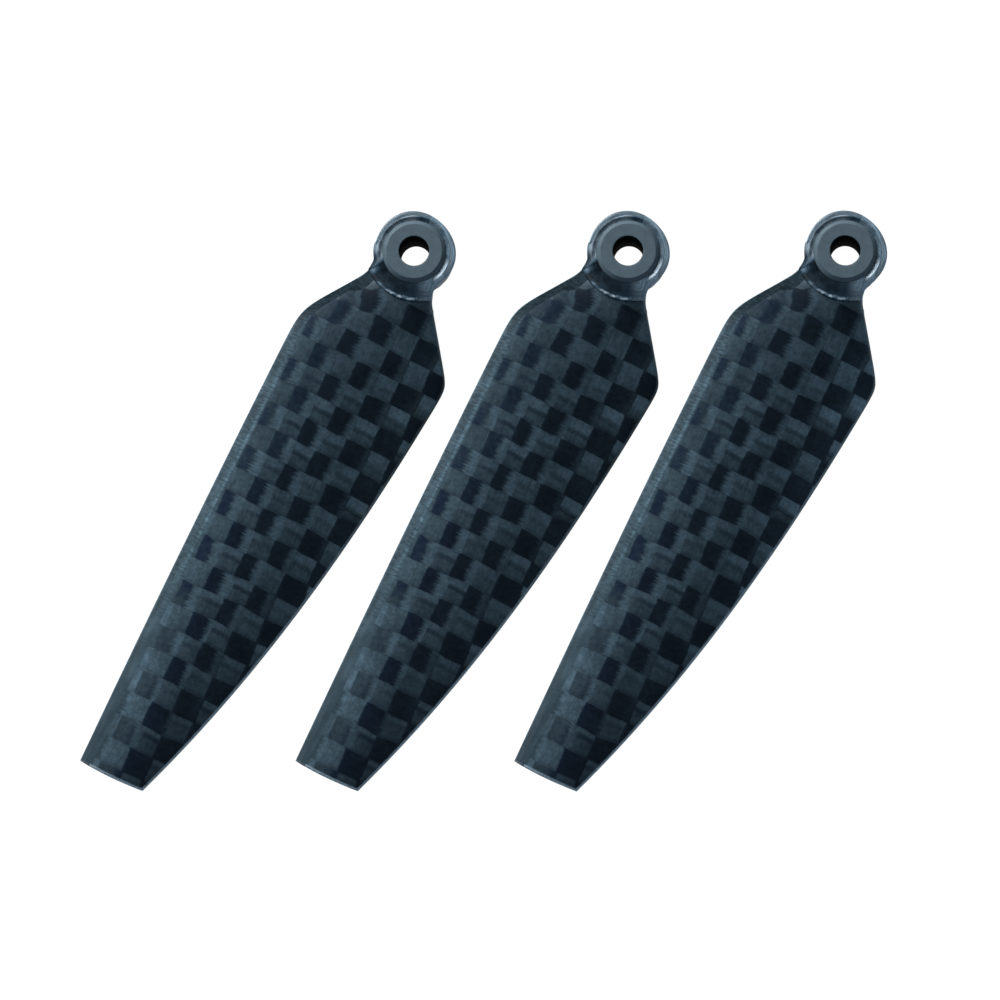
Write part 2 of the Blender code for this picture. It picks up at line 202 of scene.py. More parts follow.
def row_bow(station, x):
    """How far a row curves back towards the bore at x: round at the root, slight at the tip."""
    reach = np.minimum(np.abs(x), 0.85 * SKIN_START)
    root = SKIN_START - np.sqrt(SKIN_START**2 - reach**2)
    near_root = fading(station, SKIN_START, BOW_END)
    near_tip = smooth_step(station, BOW_START, TIP_STATION)
    return near_root * root + near_tip * TIP_BOW * ((x + 4.0) / 4.0) ** 2


def row_ends(station):
    """The x of the leading and of the trailing end of a row."""
    ends = []
    for side, width in ((-1, leading_width), (1, trailing_width)):
        x = side * width(station)
        for _ in range(60):
            x = side * width(station - row_bow(station, x))
        ends.append(x)
    return ends


def foil(u):
    """Half thickness of a four-digit section at chord fraction u, scaled to a largest value of 1."""
    shape = 0.2969 * np.sqrt(u) - 0.126 * u - 0.3516 * u**2 + 0.2843 * u**3 - 0.1036 * u**4
    return np.maximum(0.0, shape) / 0.1


def section(station, u):
    """The (x, s, mid height, half thickness) of the blade at a station and a chord fraction u."""
    leading, trailing = row_ends(station)
    x = mix(leading, trailing, u)
    neck = fading(station, SKIN_START, NECK_END)
    outboard = (station - SKIN_START) / (TIP_STATION - SKIN_START)
    body = mix(BODY_THICKNESS, TIP_THICKNESS, np.maximum(outboard, 0.0) ** 1.3)
    thickness = mix(body, NECK_THICKNESS, neck)
    oval = 2.0 * np.sqrt(np.maximum(0.0, u * (1.0 - u)))
    edge = TRAILING_THICKNESS * np.minimum(1.0, u / 0.08)
    half = 0.5 * ((thickness - TRAILING_THICKNESS) * mix(foil(u), oval, neck) + edge)
    pitch = smooth_step(station, TWIST_START, NECK_END) * mix(ROOT_PITCH, TIP_PITCH, outboard)
    camber = CAMBER * (trailing - leading) * (1.0 - neck) * 4.0 * u * (1.0 - u)
    return x, station - row_bow(station, x), camber - x * np.tan(pitch), half


def section_at(x, s):
    """The blade's (mid height, half thickness) above the point x, s."""
    station = np.maximum(SKIN_START, s)
    for _ in range(30):
        station = np.maximum(SKIN_START, s + row_bow(station, x))
    leading, trailing = row_ends(station)
    u = np.clip((x - leading) / (trailing - leading), 0.0, 1.0)
    return section(station, u)[2:]


def weave_place(x, s):
    """Column and row of the weave at a point. Whole columns lie on tow lines, whole rows on row edges."""
    strained = np.exp(-np.maximum(0.0, s - SKIN_START) / 3.0) * smooth_step(-x, -1.5, 2.0)
    across = x - COLUMN_DRIFT * (s - DRIFT_ORIGIN) + WAVINESS * np.sin(0.31 * s + 0.9 * x)
    across = across + COLUMN_STRAIN * strained * np.sin(1.9 * s + 1.1 * x)
    wide_from = (WIDE_COLUMN_START - COLUMN_ORIGIN) / COLUMN_PITCH
    narrow = (across - COLUMN_ORIGIN) / COLUMN_PITCH
    wide = wide_from + (across - WIDE_COLUMN_START) / WIDE_COLUMN_PITCH
    column = np.where(across < WIDE_COLUMN_START, narrow, wide)
    along = s + ROW_SKEW * x - ROW_ORIGIN + WAVINESS * np.sin(0.8 * x + 0.21 * s)
    row = (along + ROW_STRAIN * strained * np.sin(1.7 * x - 0.6 * s)) / ROW_PITCH
    return column, row


def tow_relief(column, row):
    """Height of the woven tows' crowns above the skin, in millimetres."""
    across = column - np.round(column)
    along = row - np.floor(row) - 0.5
    spanwise_on_top = (np.round(column) + np.floor(row)) % 2 == 0
    crown = np.cos(math.pi * across * 0.9) * np.cos(math.pi * along * 0.9)
    return TOW_RELIEF * crown * np.where(spanwise_on_top, 1.0, 0.8)


def build_mesh(name, points, faces, smooth_angle=SMOOTH_ANGLE):
    """A mesh from blade-frame points (x, s, z) in millimetres and a list of face index tuples."""
    x, y, z = points[:, 0], -points[:, 1], points[:, 2]
    cosine, sine = math.cos(BLADE_ANGLE), math.sin(BLADE_ANGLE)
    placed = np.stack([cosine * x - sine * y, sine * x + cosine * y, z], 1) * MM
    mesh = bpy.data.meshes.new(name)
    mesh.from_pydata(placed.tolist(), [], faces)
    mesh.validate()
    mesh.update()
    mesh.shade_smooth()
    mesh.set_sharp_from_angle(angle=math.radians(smooth_angle))
    return mesh


def attach(mesh, name, values):
    """Stores one vector for each vertex."""
    data = mesh.attributes.new(name, "FLOAT_VECTOR", "POINT")
    data.data.foreach_set("vector", np.ascontiguousarray(values, np.float32).ravel())


def ring_faces(loops, size, closed):
    """Quads between successive loops of `size` points. closed joins the last loop to the first."""
    faces = []
    for i in range(loops if closed else loops - 1):
        here, ahead = i * size, ((i + 1) % loops) * size
        for j in range(size):
            k = (j + 1) % size
            faces.append((here + j, here + k, ahead + k, ahead + j))
    return faces


def turn_outwards(mesh):
    """Reverses the faces if the closed mesh encloses a negative volume."""
    corners = np.array([v.co for v in mesh.vertices])
    mesh.calc_loop_triangles()
    index = np.array([t.vertices for t in mesh.loop_triangles])
    a, b, c = corners[index[:, 0]], corners[index[:, 1]], corners[index[:, 2]]
    if np.einsum("ij,ij->i", a, np.cross(b, c)).sum() < 0.0:
        mesh.flip_normals()
    return mesh


def strip_solid(name, sections):
    """A closed solid from an array (rows, points round each section, 3), with both ends filled."""
    rows, around = sections.shape[:2]
    faces = ring_faces(rows, around, closed=False)
    faces.append(tuple(range(around)))
    faces.append(tuple((rows - 1) * around + j for j in reversed(range(around))))
    return turn_outwards(build_mesh(name, sections.reshape(-1, 3), faces))


def sheet_sections(outer, inner):
    """Sections of a sheet: across its outer side and back along the inner one."""
    return np.concatenate([outer, inner[:, ::-1]], axis=1)


def stations():
    """Stations of the fine rows, closer together at the rounded root and tip edges."""
    inner_rows = SPAN_CELLS + 1 - 2 * EDGE_ROWS
    even = np.linspace(SKIN_START + EDGE_ROUNDING, TIP_STATION - EDGE_ROUNDING, inner_rows)
    ease = EDGE_ROUNDING * (1.0 - np.cos(np.linspace(0.0, 0.5 * math.pi, EDGE_ROWS + 1)[:-1]))
    return np.concatenate([SKIN_START + ease, even, TIP_STATION - ease[::-1]])


def rounded(distance):
    """How far an edge has dropped at a distance from it, as a share of its rounding."""
    u = np.clip(1.0 - distance / EDGE_ROUNDING, 0.0, 1.0)
    return 1.0 - np.sqrt(np.maximum(0.0, 1.0 - u * u))


def sheen_of(column, row):
    """Slow changes over the blade of the tows' painted sheen, painted light and painted shade, as inputs of
    the weave material's colour.
    """
    outboard = np.maximum(0.0, row - 9.0)
    near_root = fading(row, 2.0, 6.0)
    at_tip = smooth_step(row, 15.0, 18.0)
    first = fading(column, -0.1, 0.6)
    second = fading(column, 1.0, 1.6)

    # Tows across the span: where the painted sheen starts along a float, its strength, and the dark part's
    # tone, which carries painted light and shade over the blade.
    start = 0.50 + 0.055 * column + 0.0028 * outboard**2
    cross = 0.066 * fading(column + 0.3 * outboard, 2.9, 5.4) * (1.0 - 0.28 * near_root)
    cross = cross + 0.02 * smooth_step(column, 3.5, 4.5) * near_root
    base = 0.0132 + 0.0095 * first * (1.0 - 0.6 * near_root)
    base = base + 0.0245 * first * smooth_step(row, 12.5, 15.5)
    base = base + 0.008 * second * fading(row, 5.0, 11.0) + 0.008 * smooth_step(column, 4.3, 5.2)

    # Tows along the span: their tone, which carries painted light and shade over the blade, and the depth
    # and place of the painted shade line where they arch over.
    middle = smooth_step(column, 0.3, 1.2) * fading(column, 3.0, 5.0)
    span = 0.058 + 0.010 * fading(column, -1.2, 0.6) + 0.072 * smooth_step(column, 3.2, 6.4)
    span = span - 0.012 * middle * smooth_step(row, 11.0, 20.0)
    span = span * mix(0.70, 1.0, smooth_step(row, 0.3, 1.6))
    span = span * (1.0 + 0.32 * at_tip * fading(column, 0.3, 0.7))
    span = span * (1.0 - 0.2 * fading(row, 3.0, 6.0) * smooth_step(column, -0.6, -0.2) * second)
    bend = smooth_step(row, 0.5, 4.5) * smooth_step(column, -0.2, 1.0)
    dip_at = 0.52 - 0.012 * row + 0.03 * np.maximum(0.0, column - 2.0)
    # fade: painted shade on the part of a float past that line.
    fade = 0.275 * bend + 0.27 * smooth_step(column, 3.8, 5.2) * smooth_step(row, 0.5, 3.0)
    return np.stack([start, cross, base], -1), np.stack([span, 0.5 * bend, dip_at], -1), fade


def skin_mesh(name, side):
    """One woven skin. side is 1 for the upper one and -1 for the lower one."""
    station = stations()[:, None]
    leading, trailing = row_ends(station)
    chord = trailing - leading
    first = NOSE_WIDTH / chord
    turn = np.linspace(0.5 * math.pi, 0.0, EDGE_COLUMNS)
    last = 1.0 - EDGE_ROUNDING / chord * (1.0 - np.cos(turn))
    even = np.linspace(0.0, 1.0, CHORD_CELLS + 1 - EDGE_COLUMNS)[None, :-1]
    u = np.concatenate([mix(first, last[:, :1], even), last], axis=1)
    x, s, mid, half = section(station, u)
    column, row = weave_place(x, s)
    edge = np.minimum((1.0 - u) * chord, TIP_STATION - station)
    thickness = np.minimum(SKIN_THICKNESS, half - 0.5 * BOND_GAP)
    drop = 0.8 * np.minimum(thickness, EDGE_ROUNDING) * rounded(edge)
    relief = tow_relief(column, row) * smooth_step(edge, 0.0, 0.6) * smooth_step(s, 4.9, 6.5)
    outer = np.stack([x, s, mid + side * (half + relief - drop)], -1)
    inner = np.stack([x, s, mid + side * (half - thickness)], -1)
    mesh = strip_solid(name, sheet_sections(outer, inner))

    def both(grid):
        return sheet_sections(grid, grid).reshape(-1, grid.shape[-1])

    cross, span, fade = sheen_of(column, row)
    attach(mesh, "weave", both(np.stack([column, row, fade], -1)))
    attach(mesh, "rim", both(np.stack([u * chord, s, edge], -1)))
    attach(mesh, "cross_sheen", both(cross))
    attach(mesh, "span_sheen", both(span))
    return mesh


def nose_mesh(name):
    """The leading-edge tow: the rounded nose of the section, from the neck to the tip."""
    station = stations()[:, None]
    leading, trailing = row_ends(station)
    chord = trailing - leading
    last = (NOSE_WIDTH - SEAM) / chord
    share = np.linspace(0.0, 1.0, 15)[None, :] ** 2
    x, s, mid, half = section(station, last * share)
    drop = 0.5 * np.minimum(half, EDGE_ROUNDING) * rounded(TIP_STATION - station)
    top = np.stack([x, s, mid + half - drop], -1)
    bottom = np.stack([x, s, mid - half + drop], -1)
    mesh = strip_solid(name, np.concatenate([top, bottom[:, :0:-1]], axis=1))
    inward = np.broadcast_to(share * NOSE_WIDTH, x.shape)
    to_tip = np.broadcast_to(TIP_STATION - station, x.shape)
    values = np.stack([inward, s, to_tip], -1)
    attach(mesh, "rim", np.concatenate([values, values[:, :0:-1]], axis=1).reshape(-1, 3))
    return mesh


def turned(name, profile, cells=144):
    """A closed ring turned from a closed profile of (r, z) points."""
    angles = np.linspace(0.0, 2.0 * math.pi, cells, endpoint=False)
    r = np.array([p[0] for p in profile])
    z = np.array([p[1] for p in profile])
    heights = np.broadcast_to(z, (cells, len(r)))
    points = np.stack([np.outer(np.sin(angles), r), np.outer(np.cos(angles), r), heights], -1)
    faces = ring_faces(cells, len(r), closed=True)
    return turn_outwards(build_mesh(name, points.reshape(-1, 3), faces, ROOT_SMOOTH_ANGLE))


def bush_mesh(name):
    """The sleeve bush: flat faces, a chamfered outer edge and a crisp bore."""
    top = BUSH_HALF_HEIGHT
    ease = BUSH_EASE
    outer = BUSH_RADIUS - BUSH_CHAMFER
    shoulder = top - BUSH_CHAMFER
    half = [(BORE_RADIUS, top - BORE_EDGE), (BORE_RADIUS + BORE_EDGE, top)]
    flat = np.linspace(BORE_RADIUS + 3.0 * BORE_EDGE, outer - 3.0 * ease, 6)
    half += [(r, top) for r in flat]
    half += [(outer - ease, top), (outer + ease, top - ease), (outer + 3.0 * ease, top - 3.0 * ease)]
    half += [(BUSH_RADIUS - 3.0 * ease, shoulder + 3.0 * ease), (BUSH_RADIUS - ease, shoulder + ease)]
    half += [(BUSH_RADIUS, z) for z in (shoulder - ease, shoulder - 3.0 * ease, BUSH_WAIST)]
    profile = half + [(r, -z) for r, z in half[::-1]]
    return turned(name, profile)


def from_span(angle):
    """How far an angle lies from the span axis: 0 to pi."""
    return np.arccos(np.clip(np.cos(angle), -1.0, 1.0))


def signed(angle):
    """An angle in radians, wrapped and turned into -180 to 180 degrees."""
    return np.degrees(np.arctan2(np.sin(angle), np.cos(angle)))


def bead_path():
    """Stops along the tow loop: (x, s, outward x, outward s, mid height, half height, angle)."""
    radius = 0.5 * (BEAD_INNER + BEAD_OUTER)
    leave_x, leave_s = radius * math.sin(LEG_START), radius * math.cos(LEG_START)
    meet_s = leave_s + (leave_x - LEG_SPACING) * math.tan(LEG_START)

    def under_skin(half):
        return float(half) - SKIN_THICKNESS - LEG_COVER

    def leg(side):
        stops = []
        for s in LEG_STATIONS:
            x = -LEG_DRIFT * max(0.0, s - 9.0) + side * LEG_SPACING
            mid, half = section_at(x, s)
            stops.append((x, s, side, 0.0, float(mid), under_skin(half), 0.0))
        out_x, out_s = side * math.sin(LEG_START), math.cos(LEG_START)
        for u in np.linspace(0.1, 0.95, 8):
            x, s = side * mix(LEG_SPACING, leave_x, u), mix(meet_s, leave_s, u)
            mid, half = section_at(x, s)
            half = min(LEG_HALF_HEIGHT, under_skin(half))
            stops.append((x, s, out_x, out_s, float(mid) * (1.0 - u), half, 0.0))
        return stops

    loop = []
    for angle in np.linspace(LEG_START, 2.0 * math.pi - LEG_START, 181):
        full = smooth_step(float(from_span(angle)), math.radians(50.0), math.radians(80.0))
        half = mix(LEG_HALF_HEIGHT, BEAD_HALF_HEIGHT, float(full))
        x, s = math.sin(angle), math.cos(angle)
        loop.append((radius * x, radius * s, x, s, 0.0, half, float(signed(angle))))
    return leg(1) + loop + leg(-1)[::-1]


def squared(wave):
    """A sine or cosine pushed outwards, for a section between an ellipse and a rectangle."""
    return np.sign(wave) * np.abs(wave) ** BEAD_SQUARENESS


def bead_mesh(name):
    """The tow loop round the eyelet: a full, rounded section, with legs that run on in the blade."""
    half_width = 0.5 * (BEAD_OUTER - BEAD_INNER)
    around = 32
    turn = np.linspace(0.0, 2.0 * math.pi, around, endpoint=False) + math.pi / around
    out = squared(np.cos(turn))
    up = squared(np.sin(turn))
    rows, looks = [], []
    for x, s, across_x, across_s, mid, half, angle in bead_path():
        crown = min(half, BEAD_CROWN)
        height = np.sign(up) * (half - crown + crown * np.abs(up))
        kept = 1.0 - BEAD_TAPER * 0.5 * (half - height) / half
        reach = half_width * ((out + 1.0) * kept - 1.0)
        slow_wave = 0.02 * math.sin(math.radians(3.0 * angle) + 0.7)
        quick_wave = 0.012 * math.sin(math.radians(8.0 * angle))
        height = height * (1.0 + 0.6 * (slow_wave + quick_wave))
        on_ring = float(smooth_step(abs(angle), 62.0, 84.0))
        stray = on_ring * RING_UNEVENNESS * math.cos(3.0 * math.radians(angle - RING_PEAK))
        reach = reach + stray * (0.5 + 0.5 * out)
        rows.append(np.stack([x + reach * across_x, s + reach * across_s, mid + height], -1))
        looks.append(np.stack([out, np.full(around, angle), height], -1))
    mesh = strip_solid(name, np.array(rows))
    attach(mesh, "bead", np.array(looks).reshape(-1, 3))
    return mesh


def boss_reach(angle):
    """The filler's outer radius: under the bead, and on the blade side out to the lip on the skins."""
    away = from_span(angle)
    inside = np.full_like(angle, 3.0)
    outside = np.full_like(angle, SHELF_RADIUS)
    leads = np.sin(angle) < 0.0
    for _ in range(30):
        middle = 0.5 * (inside + outside)
        s = middle * np.cos(angle)
        limit = np.where(leads, leading_width(s), trailing_width(s)) - 0.02
        fits = middle * np.abs(np.sin(angle)) < limit
        inside = np.where(fits, middle, inside)
        outside = np.where(fits, outside, middle)
    ring = mix(BEAD_OUTER - 0.03, 0.5 * (BEAD_INNER + BEAD_OUTER), smooth_step(away, 1.33, 1.50))
    neck = np.where(away < math.radians(80.0), np.minimum(inside, SHELF_RADIUS), 0.0)
    return np.where(away < math.radians(30.0), neck, soft_max(neck, ring, 0.04))


def boss_height(angle, radius, outer, side):
    """Height of the filler's upper (side 1) or lower (side -1) face."""
    away = from_span(angle)
    corner = math.radians(45.0)
    reach = np.minimum(away, corner) * np.sign(np.sin(angle))
    mid, half = section_at(SKIN_START * np.sin(reach), SKIN_START * np.cos(reach))
    end = side * mid + half + SHELF_LIP
    rim = mix(end, BEAD_HALF_HEIGHT - 0.12, smooth_step(away, math.radians(41.0), math.radians(68.0)))
    seat = mix(SHELF_HEIGHT, GROOVE_FLOOR, smooth_step(away, math.radians(30.0), math.radians(80.0)))
    u = np.clip((radius - SEAT_RADIUS) / (outer - SEAT_RADIUS), 0.0, 1.0)
    fall = mix(seat, rim, 1.0 - (1.0 - u) ** 2)
    ridge = RIDGE_HEIGHT * np.exp(-(((radius - RIDGE_RADIUS) / RIDGE_WIDTH) ** 2))
    ridge = ridge * smooth_step(away, 0.5, 1.05)
    edge = np.clip((outer - radius) / 0.3, 0.0, 1.0)
    round_off = RIM_DROP * (1.0 - np.sqrt(1.0 - (1.0 - edge) ** 2)) * smooth_step(away, 0.6, 0.9)
    lip = SHELF_LIP * 1.4 * smooth_step(u, 0.9, 1.0) ** 2 * fading(away, 0.6, 0.9)
    return side * (fall + ridge - round_off - lip)


def boss_mesh(name):
    """The filler between bush and bead, with the shelf that runs out onto the blade."""
    angle = np.linspace(-math.pi, math.pi, 288, endpoint=False)[:, None]
    outer = boss_reach(angle)
    share = np.sin(np.linspace(0.0, 0.5 * math.pi, 29))[None, :]
    drafted = 0.5 * smooth_step(from_span(angle), 0.8, 1.0)
    grids, looks = [], []
    for side, reach in ((1, outer), (-1, outer - drafted)):
        radius = mix(SEAT_RADIUS, reach, share)
        height = boss_height(np.broadcast_to(angle, radius.shape), radius, reach, side)
        grids.append(np.stack([radius * np.sin(angle), radius * np.cos(angle), height], -1))
        degrees = np.broadcast_to(signed(angle), radius.shape)
        looks.append(np.stack([reach - radius, degrees, np.zeros_like(radius)], -1))
    loops = sheet_sections(grids[0], grids[1])
    faces = ring_faces(loops.shape[0], loops.shape[1], closed=True)
    mesh = turn_outwards(build_mesh(name, loops.reshape(-1, 3), faces, ROOT_SMOOTH_ANGLE))
    attach(mesh, "root", sheet_sections(looks[0], looks[1]).reshape(-1, 3))
    return mesh


NOISE_LOW = 0.3  # noise seldom leaves the range from here
NOISE_HIGH = 0.7  # to here


class Shader:
    """Adds nodes to one new material. Each method returns an output socket."""

    def __init__(self, name):
        self.material = bpy.data.materials.new(name)
        self.material.use_nodes = True
        self.nodes = self.material.node_tree.nodes
        self.links = self.material.node_tree.links
        self.surface = self.nodes["Principled BSDF"]

    def put(self, socket, value):
        if isinstance(value, bpy.types.NodeSocket):
            self.links.new(value, socket)
        else:
            socket.default_value = value

    def math(self, operation, *values):
        node = self.nodes.new("ShaderNodeMath")
        node.operation = operation
        for socket, value in zip(node.inputs, values):
            self.put(socket, value)
        return node.outputs[0]

    def plus(self, a, b):
        return self.math("ADD", a, b)

    def minus(self, a, b):
        return self.math("SUBTRACT", a, b)

    def times(self, a, b):
        return self.math("MULTIPLY", a, b)

    def linear(self, value, factor, offset):
        """value * factor + offset."""
        return self.math("MULTIPLY_ADD", value, factor, offset)

    def size(self, value):
        """The value without its sign."""
        return self.math("ABSOLUTE", value)

    def vector(self, x, y, z=0.0):
        node = self.nodes.new("ShaderNodeCombineXYZ")
        for socket, value in zip(node.inputs, (x, y, z)):
            self.put(socket, value)
        return node.outputs[0]

    def parts(self, vector):
        node = self.nodes.new("ShaderNodeSeparateXYZ")
        self.put(node.inputs[0], vector)
        return node.outputs[0], node.outputs[1], node.outputs[2]

    def attribute(self, name):
        node = self.nodes.new("ShaderNodeAttribute")
        node.attribute_name = name
        return node.outputs["Vector"]

    def position(self):
        """Object-space position in millimetres."""
        coordinates = self.nodes.new("ShaderNodeTexCoord").outputs["Object"]
        node = self.nodes.new("ShaderNodeVectorMath")
        node.operation = "SCALE"
        self.put(node.inputs[0], coordinates)
        node.inputs["Scale"].default_value = 1.0 / MM
        return node.outputs[0]

    def noise(self, vector, scale=1.0, detail=2.0, roughness=0.5):
        """Noise round 0.5."""
        node = self.nodes.new("ShaderNodeTexNoise")
        self.put(node.inputs["Vector"], vector)
        node.inputs["Scale"].default_value = scale
        node.inputs["Detail"].default_value = detail
        node.inputs["Roughness"].default_value = roughness
        return node.outputs[0]

    def dice(self, vector):
        """An even random value from 0 to 1 for each different vector."""
        node = self.nodes.new("ShaderNodeTexWhiteNoise")
        self.put(node.inputs["Vector"], vector)
        return node.outputs["Value"]

    def ramp(self, value, low, high, to_low=0.0, to_high=1.0):
        """A smooth change from to_low to to_high while value goes from low to high."""
        node = self.nodes.new("ShaderNodeMapRange")
        node.interpolation_type = "SMOOTHSTEP"
        for socket, given in zip(node.inputs, (value, low, high, to_low, to_high)):
            self.put(socket, given)
        return node.outputs[0]

    def spread(self, noise, low, high):
        """Noise stretched from its usual range to the range from low to high."""
        return self.ramp(noise, NOISE_LOW, NOISE_HIGH, low, high)

    def mixed(self, kind, share, a, b):
        node = self.nodes.new("ShaderNodeMix")
        node.data_type = kind
        for socket, value in zip([s for s in node.inputs if s.enabled], (share, a, b)):
            self.put(socket, value)
        return next(s for s in node.outputs if s.enabled)

    def blend(self, share, a, b):
        """A number between a and b."""
        return self.mixed("FLOAT", share, a, b)

    def colour(self, share, a, b):
        """A colour between a and b."""
        return self.mixed("RGBA", share, a, b)

    def tinted(self, value, tint):
        """A tint scaled by a value."""
        node = self.nodes.new("ShaderNodeVectorMath")
        node.operation = "SCALE"
        self.put(node.inputs[0], tint)
        self.put(node.inputs["Scale"], value)
        return node.outputs[0]

    def bump(self, height, distance):
        node = self.nodes.new("ShaderNodeBump")
        self.put(node.inputs["Height"], height)
        node.inputs["Distance"].default_value = distance
        node.inputs["Strength"].default_value = 1.0
        return node.outputs[0]

    def finish(self, **values):
        """Sets the surface's inputs; a double underscore in a name stands for a space."""
        for name, value in values.items():
            self.put(self.surface.inputs[name.replace("__", " ")], value)
        return self.material


# What a tone is multiplied by to make a colour.
TOW_TINT = (0.664, 1.064, 1.355)
DARK_TINT = (0.60, 1.04, 1.60)
LEADING_TINT = (0.50, 0.98, 1.90)
BAND_TINT = (0.65, 1.06, 1.33)
EDGE_TINT = (0.80, 1.02, 1.18)
ROOT_TINT = (0.55, 1.06, 1.55)
BEAD_TINT = (0.72, 1.04, 1.28)
BUSH_TINT = (0.74, 1.05, 1.25)
FOAM_TINT = (1.05, 1.0, 0.86)
UNDER_PAINTED_SHADE = 0.9  # painted shade: the lower cloth's brightness against the upper one


def opaque(tint):
    return (*tint, 1.0)


def nose_band_highlight(look, lead, distance):
    """Colour of the leading-edge tow, with fine marks across it. Its paleness is a painted highlight of the
    rounded nose, palest at its inner side, with thin painted highlight lines along its outer edge, weaker
    towards the root and the tip.

    lead is the distance from the leading edge, distance that from the bore.
    """
    ticks = look.noise(look.vector(look.times(lead, 1.4), look.times(distance, 5.2)), 1.0, 3.0, 0.6)
    cloud = look.noise(look.vector(lead, look.times(distance, 0.35), 4.0), 1.0, 2.0)
    inner = look.ramp(look.size(look.minus(lead, 1.08)), 0.24, 0.04, 0.0, 0.04)
    inner = look.times(inner, look.ramp(distance, 15.0, 25.0, 0.2, 1.0))
    inner = look.times(inner, look.ramp(distance, 30.0, 44.0, 1.0, 0.1))
    outer = look.ramp(lead, 0.16, 0.02, 0.0, 0.05)
    body = look.plus(look.ramp(lead, 0.2, 0.9, 0.046, 0.062), look.plus(inner, outer))
    ends = look.times(look.ramp(distance, 46.0, 56.0, 1.06, 0.80), look.ramp(distance, 8.5, 13.5, 0.32, 1.0))
    strength = look.ramp(distance, 36.0, 50.0, 0.76, 0.16)
    marks = look.linear(look.minus(look.ramp(ticks, 0.32, 0.68), 0.5), strength, 1.0)
    value = look.times(look.times(body, ends), marks)
    value = look.times(value, look.spread(cloud, 0.78, 1.22))
    thin = look.times(look.ramp(lead, 0.14, 0.02, 0.0, 0.07), look.ramp(distance, 14.0, 9.0))
    return look.tinted(look.times(look.plus(value, thin), 1.06), BAND_TINT)


def wandering(look, value, column, row, seed):
    """One of the weave's coordinates with a slow wander of at most 0.08."""
    wander = look.noise(look.vector(column, row, seed), 1.3, 3.0)
    return look.plus(value, look.linear(wander, 0.16, -0.08))


def cross_tows(look, nearest, across, row, row_index, odd):
    """Tone and fibres of the tows across the span: dark, with a painted sheen that starts along each float.
    """
    start, strength, base = look.parts(look.attribute("cross_sheen"))
    toward = look.times(look.math("SIGN", across), look.minus(1.0, odd))
    float_at = look.linear(look.minus(across, toward), 1.0 / FLOAT_LENGTH, 0.5)
    float_index = look.plus(nearest, toward)
    cell = look.dice(look.vector(float_index, row_index, 3.0))
    teeth = look.noise(look.vector(look.times(float_at, 1.2), look.times(row, 17.0), float_index), 1.0, 3.0)
    shifted = look.plus(float_at, look.linear(teeth, 0.44, -0.22))
    shifted = look.plus(shifted, look.linear(cell, 0.16, -0.08))
    rise = look.ramp(shifted, look.minus(start, 0.10), look.plus(start, 0.17))
    fall = look.ramp(shifted, 0.86, 1.06, 1.0, 0.72)
    sheen = look.times(look.times(rise, fall), strength)
    fibres = look.noise(look.vector(look.times(float_at, 0.8), look.times(row, 42.0), float_index), 1.0, 2.0)
    value = look.times(look.plus(sheen, base), look.ramp(fibres, 0.2, 0.8, 0.8, 1.2))
    left_end = look.ramp(float_at, 0.12, 0.0, 0.0, 0.006)
    return look.plus(value, left_end), fibres


def span_tows(look, column, nearest, row, row_index, fade):
    """Tone and fibres of the tows along the span: paler, with a painted shade line where a float arches
    over, painted shade past it, and darker float ends.
    """
    tone, dip, dip_at = look.parts(look.attribute("span_sheen"))
    along = look.minus(row, row_index)
    cell = look.dice(look.vector(nearest, row_index, 8.0))
    lines = look.noise(look.vector(look.times(column, 34.0), look.times(row, 0.9)), 1.0, 2.5)
    deep = look.ramp(cell, 0.0, 1.0, 0.55, 1.35)
    sway = look.plus(along, look.linear(lines, 0.10, -0.05))
    off = look.size(look.minus(sway, dip_at))
    line = look.times(look.ramp(off, 0.16, 0.02), look.times(dip, deep))
    lower = look.times(look.ramp(sway, dip_at, look.plus(dip_at, 0.12)), look.times(fade, deep))
    tail = look.ramp(along, 0.78, 1.0, 0.0, 0.28)
    head = look.ramp(along, 0.10, 0.0, 0.0, 0.22)
    loss = look.plus(look.plus(line, lower), look.plus(tail, head))
    value = look.times(tone, look.minus(1.12, loss))
    value = look.times(value, look.ramp(lines, 0.25, 0.75, 0.80, 1.2))
    return look.times(value, look.ramp(cell, 0.0, 1.0, 0.88, 1.12)), lines


def cloth_colour(look, value, column, lead, distance, edge):
    """The tinted tone, with the nose's painted highlight carried onto the strip beside the leading-edge tow,
    and a painted highlight along the cut edges.
    """
    leading = look.ramp(column, 1.8, -0.4)
    tint = look.colour(leading, opaque(DARK_TINT), opaque(LEADING_TINT))
    tint = look.colour(look.ramp(value, 0.012, 0.045), tint, opaque(TOW_TINT))
    beside = look.ramp(lead, NOSE_WIDTH + 0.36, NOSE_WIDTH + 0.06)
    banded = look.times(beside, look.ramp(distance, 10.5, 13.5))
    woven = look.colour(banded, look.tinted(value, tint), nose_band_highlight(look, lead, distance))
    # A painted highlight along the cut edges, broken by specks and brighter towards the tip.
    specks = look.noise(look.position(), 7.0, 3.0)
    cut_edge_highlight = look.times(look.ramp(edge, 0.30, 0.08), look.ramp(specks, 0.35, 0.62, 0.5, 1.0))
    return look.colour(cut_edge_highlight, woven, look.tinted(look.ramp(distance, 12.0, 46.0, 0.20, 0.50), EDGE_TINT))


